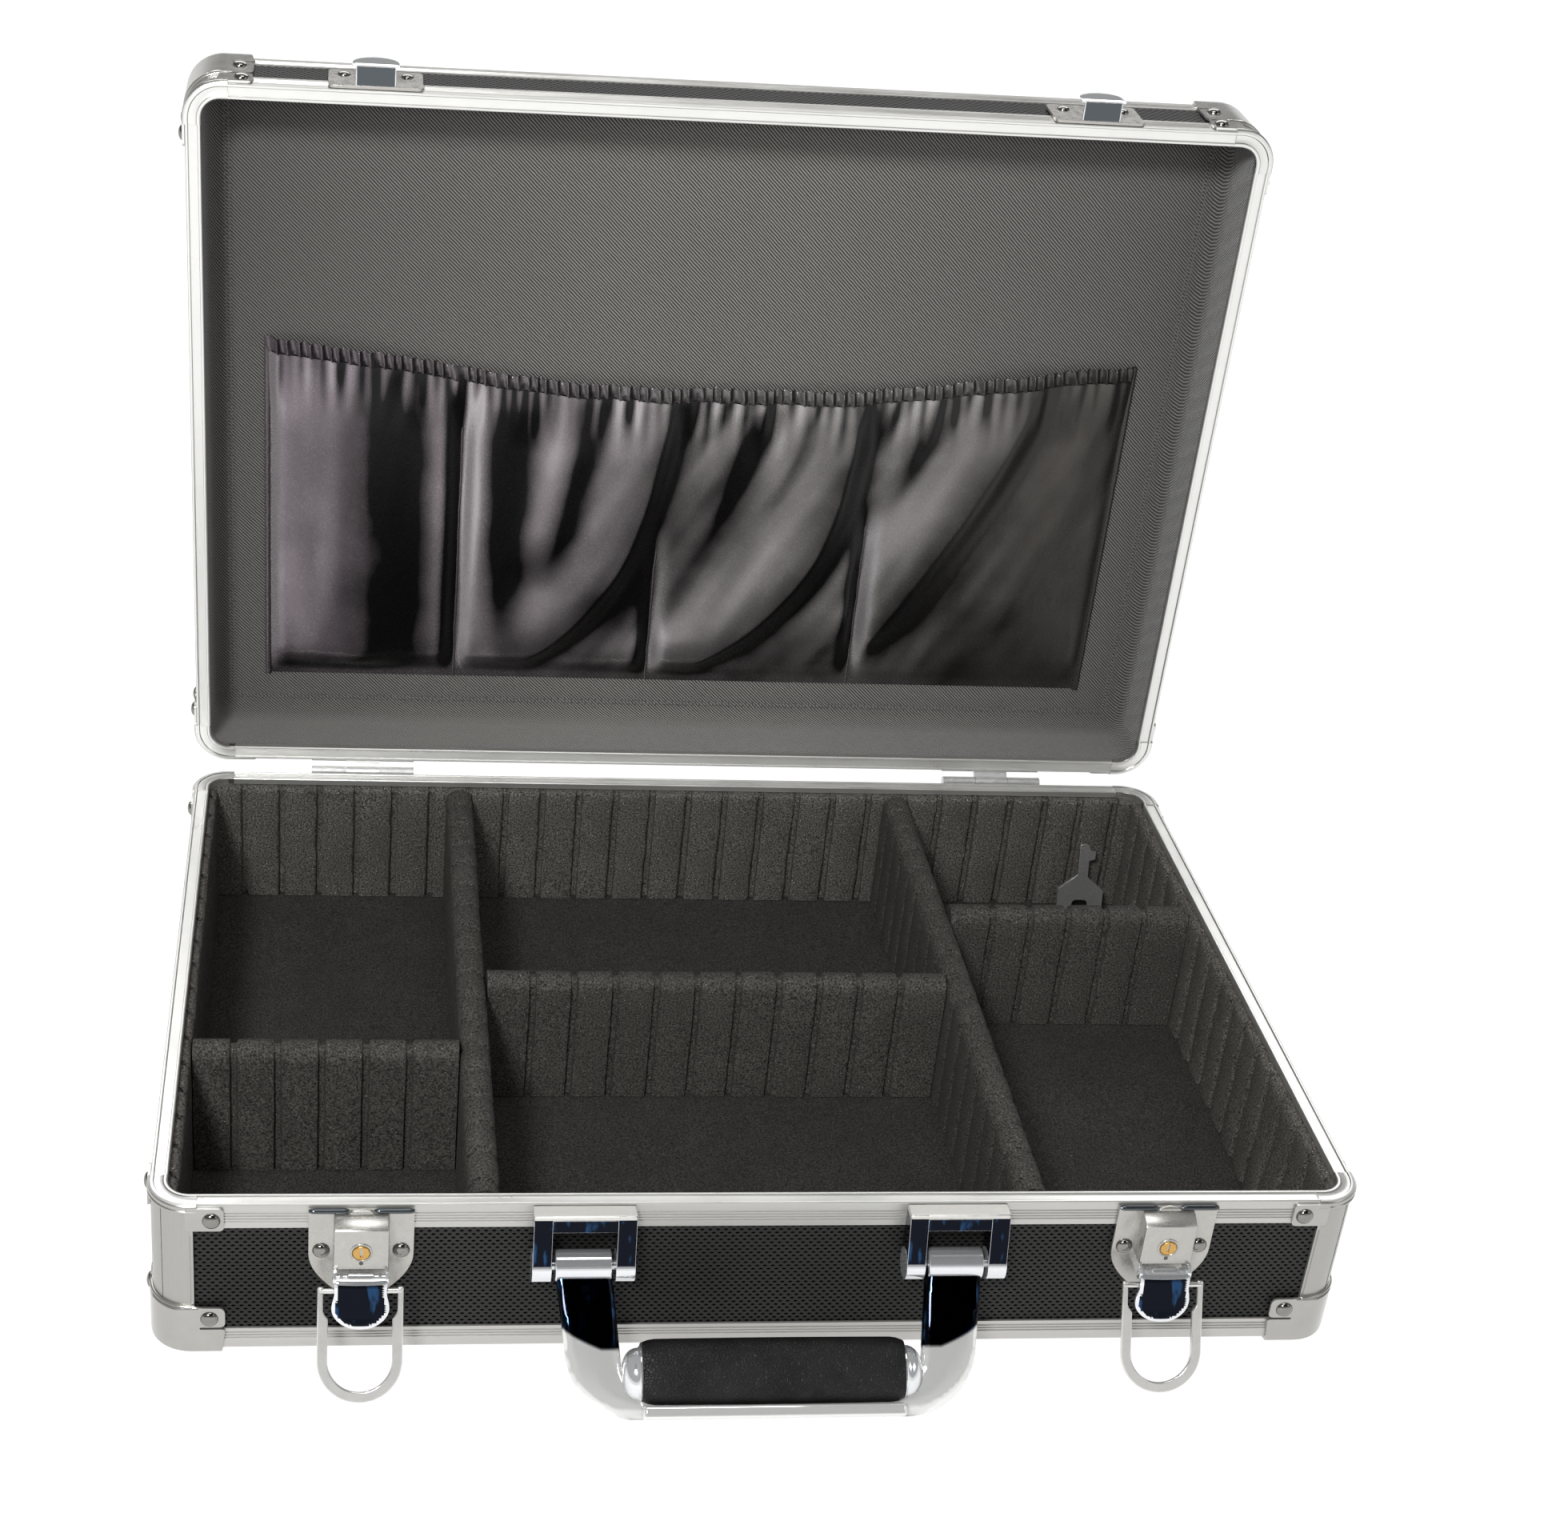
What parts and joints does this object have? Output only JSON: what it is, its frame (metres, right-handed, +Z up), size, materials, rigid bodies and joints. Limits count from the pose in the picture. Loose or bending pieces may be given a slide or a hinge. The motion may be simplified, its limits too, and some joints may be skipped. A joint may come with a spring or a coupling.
{
  "type": "poker chip case",
  "caption": "Open aluminium-framed carrying case with foam dividers, a lined lid with a gathered pocket, key latches, a drop handle and a loose key.",
  "frame": {"origin": "centre of the flat underside of the floor panel", "axes": "+X runs along the hinge line to the right as seen from the handle side, +Y goes back towards the hinges, +Z is up out of the base"},
  "size_m": [0.4658, 0.4184, 0.4038],
  "materials": {
    "satin_aluminium": "satin, finely ribbed extrusion",
    "corner_plate": "satin nickel plate with polished rivets",
    "chrome": "polished plate",
    "satin_steel": "satin nickel plate",
    "hinge_steel": "satin plate",
    "black_panel": "black board with an embossed dimple pattern",
    "foam": "matt black closed-cell foam, speckled",
    "lining_cloth": "dark woven cloth on board",
    "satin_cloth": "black satin lining fabric",
    "brass": "polished",
    "black_leather": "matt black leather-like moulding",
    "key_steel": "nickel plate"
  },
  "bodies": {
    "base": {"base_rim": "satin_aluminium", "base_bottom_edge": "satin_aluminium", "base_post_front_left": "satin_aluminium", "base_post_front_right": "satin_aluminium", "base_post_back_left": "satin_aluminium", "base_post_back_right": "satin_aluminium", "base_joiner_front_left": "corner_plate", "base_joiner_front_right": "corner_plate", "base_joiner_back_left": "corner_plate", "base_joiner_back_right": "corner_plate", "base_cap_front_left": "corner_plate", "base_cap_front_right": "corner_plate", "base_cap_back_left": "corner_plate", "base_cap_back_right": "corner_plate", "base_front_panel": "black_panel", "base_back_panel": "black_panel", "base_left_panel": "black_panel", "base_right_panel": "black_panel", "base_floor_panel": "black_panel", "floor_foam": "foam", "wall_foam": "foam", "hinge_base_leaf_left": "hinge_steel", "hinge_base_leaf_right": "hinge_steel", "latch_body_left": "chrome", "latch_body_right": "chrome", "handle_bracket_left": "chrome", "handle_bracket_right": "chrome"},
    "lid": {"lid_rim": "satin_aluminium", "lid_top_edge": "satin_aluminium", "lid_joiner_front_left": "corner_plate", "lid_joiner_front_right": "corner_plate", "lid_joiner_back_left": "corner_plate", "lid_joiner_back_right": "corner_plate", "lid_cap_front_left": "corner_plate", "lid_cap_front_right": "corner_plate", "lid_cap_back_left": "corner_plate", "lid_cap_back_right": "corner_plate", "lid_top_panel": "black_panel", "lid_side_band": "black_panel", "lid_lining": "lining_cloth", "lid_pocket": "satin_cloth", "catch_left": "chrome", "catch_right": "chrome", "hinge_lid_leaf_left": "hinge_steel", "hinge_lid_leaf_right": "hinge_steel"},
    "handle": {"handle_frame": "chrome", "handle_grip": "black_leather"},
    "lever_left": {"latch_lever_left": "chrome"},
    "bail_left": {"latch_bail_left": "satin_steel"},
    "lock_left": {"key_cylinder_left": "brass"},
    "lever_right": {"latch_lever_right": "chrome"},
    "bail_right": {"latch_bail_right": "satin_steel"},
    "lock_right": {"key_cylinder_right": "brass"},
    "divider_long_left": {"divider_long_left": "foam"},
    "divider_long_right": {"divider_long_right": "foam"},
    "divider_left": {"divider_left": "foam"},
    "divider_middle": {"divider_middle": "foam"},
    "divider_right": {"divider_right": "foam"},
    "key": {"key": "key_steel"}
  },
  "joints": [
    {"name": "lid_hinge", "type": "hinge", "parent": "base", "child": "lid", "pos_m": [0, 0.1648, 0.067], "axis": [-1, 0, 0], "range_deg": [-88, 0]},
    {"name": "handle_swing", "type": "hinge", "parent": "base", "child": "handle", "pos_m": [0, -0.1665, 0.045], "axis": [-1, 0, 0], "range_deg": [0, 116]},
    {"name": "latch_lever_left", "type": "hinge", "parent": "base", "child": "lever_left", "pos_m": [-0.1525, -0.1692, 0.042], "axis": [-1, 0, 0], "range_deg": [0, 88]},
    {"name": "latch_bail_left", "type": "hinge", "parent": "lever_left", "child": "bail_left", "pos_m": [-0.1525, -0.171, 0.0372], "axis": [1, 0, 0], "range_deg": [-161.5, 0]},
    {"name": "lock_turn_left", "type": "hinge", "parent": "base", "child": "lock_left", "pos_m": [-0.1525, -0.1686, 0.0532], "axis": [0, -1, 0], "range_deg": [0, 90]},
    {"name": "latch_lever_right", "type": "hinge", "parent": "base", "child": "lever_right", "pos_m": [0.1525, -0.1692, 0.042], "axis": [-1, 0, 0], "range_deg": [0, 88]},
    {"name": "latch_bail_right", "type": "hinge", "parent": "lever_right", "child": "bail_right", "pos_m": [0.1525, -0.171, 0.0372], "axis": [1, 0, 0], "range_deg": [-161.5, 0]},
    {"name": "lock_turn_right", "type": "hinge", "parent": "base", "child": "lock_right", "pos_m": [0.1525, -0.1686, 0.0532], "axis": [0, -1, 0], "range_deg": [0, 90]},
    {"name": "divider_long_left_lift", "type": "slide", "parent": "base", "child": "divider_long_left", "axis": [0, 0, 1], "range_m": [0, 0.075]},
    {"name": "divider_long_right_lift", "type": "slide", "parent": "base", "child": "divider_long_right", "axis": [0, 0, 1], "range_m": [0, 0.075]},
    {"name": "divider_left_lift", "type": "slide", "parent": "base", "child": "divider_left", "axis": [0, 0, 1], "range_m": [0, 0.075]},
    {"name": "divider_middle_lift", "type": "slide", "parent": "base", "child": "divider_middle", "axis": [0, 0, 1], "range_m": [0, 0.075]},
    {"name": "divider_right_lift", "type": "slide", "parent": "base", "child": "divider_right", "axis": [0, 0, 1], "range_m": [0, 0.075]},
    {"name": "key_lift", "type": "slide", "parent": "base", "child": "key", "axis": [0, 0, 1], "range_m": [0, 0.09]}
  ]
}
